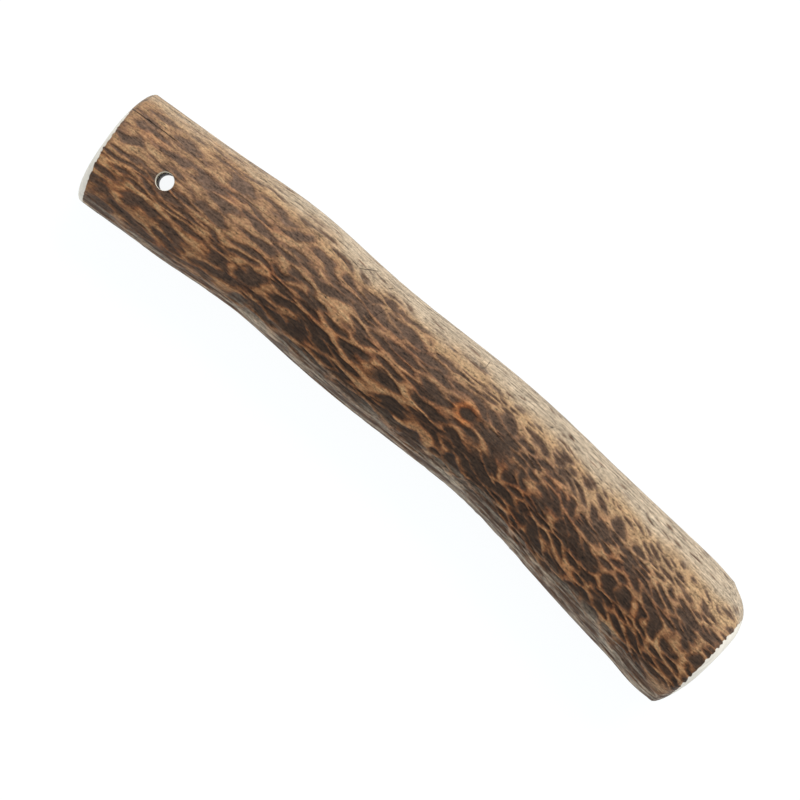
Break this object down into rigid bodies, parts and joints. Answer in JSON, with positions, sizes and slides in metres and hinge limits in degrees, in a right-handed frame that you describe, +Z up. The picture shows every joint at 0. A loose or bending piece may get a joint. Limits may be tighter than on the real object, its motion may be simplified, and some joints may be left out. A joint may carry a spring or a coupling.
{
  "type": "deer antler",
  "caption": "Sawn length of deer antler beam, gently bowed, with furrowed brown skin, rounded sawn ends and a cord hole through its thin end.",
  "frame": {"origin": "under the middle of the antler's box, on the surface it lies on", "axes": "+X along the antler from the drilled thin end to the thick end, +Y towards the side it bows to, +Z up, the way the cord hole is drilled"},
  "size_m": [0.1598, 0.0318, 0.0266],
  "materials": {
    "antler": "satin"
  },
  "bodies": {
    "root": {"antler": "antler"}
  },
  "joints": []
}
